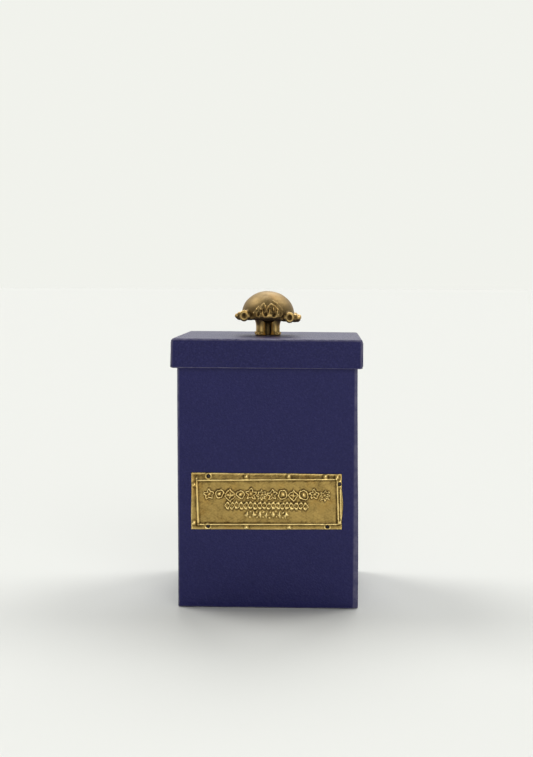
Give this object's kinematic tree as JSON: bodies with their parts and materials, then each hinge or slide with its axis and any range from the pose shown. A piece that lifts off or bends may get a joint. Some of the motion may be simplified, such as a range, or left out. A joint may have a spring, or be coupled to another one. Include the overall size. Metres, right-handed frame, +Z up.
{
  "type": "leather-covered talcum powder box",
  "caption": "Square leather-covered talc box with a slip-over lid, a cast brass tortoise knob, a nailed brass plaque and a tin with a rotary sifter inside.",
  "frame": {"origin": "centre of the base, on the surface the box stands on", "axes": "+Z up, front face with the plaque towards -Y, +X to the right seen from the front"},
  "size_m": [0.0848, 0.0848, 0.1417],
  "materials": {
    "leather": "indigo grained leather, semi-matt",
    "greyboard": "plain grey-brown bookbinder's board",
    "suede_lining": "tan suede-finish lining paper",
    "base_cloth": "dark felt pad",
    "plaque_brass": "embossed sheet brass, worn bright on the ridges",
    "knob_brass": "cast brass, aged, dark in the hollows",
    "pin_steel": "blued steel, nearly black",
    "tinplate": "tinned steel, dull",
    "sifter_brass": "thin gilt brass sheet",
    "screw_steel": "plain zinc-plated steel"
  },
  "bodies": {
    "box": {"base_pad": "base_cloth", "base_infill": "greyboard", "base_board": "greyboard", "front_wall": "greyboard", "back_wall": "greyboard", "left_wall": "greyboard", "right_wall": "greyboard", "body_leather": "leather", "wall_lining": "suede_lining", "floor_lining": "suede_lining", "plaque": "plaque_brass", "plaque_pins": "pin_steel", "tin_base": "tinplate", "tin_body": "tinplate", "tin_top": "tinplate"},
    "sifter": {"sifter": "sifter_brass", "stop_pin": "sifter_brass", "dial_rivet": "sifter_brass"},
    "dial": {"sifter_dial": "sifter_brass"},
    "lid": {"lid_board": "greyboard", "lid_front_strip": "greyboard", "lid_back_strip": "greyboard", "lid_left_strip": "greyboard", "lid_right_strip": "greyboard", "lid_leather": "leather", "lid_ceiling_lining": "suede_lining", "lid_skirt_lining": "suede_lining", "knob_post": "knob_brass", "knob_tortoise": "knob_brass", "knob_screw": "screw_steel", "knob_washer": "screw_steel"}
  },
  "joints": [
    {"name": "lid_lift", "type": "slide", "parent": "box", "child": "lid", "axis": [0, 0, 1], "range_m": [0, 0.09]},
    {"name": "sifter_lift", "type": "slide", "parent": "box", "child": "sifter", "axis": [0, 0, 1], "range_m": [0, 0.005]},
    {"name": "dial_turn", "type": "hinge", "parent": "sifter", "child": "dial", "pos_m": [0, 0, 0.1057], "axis": [0, 0, 1], "range_deg": [0, 15]}
  ]
}
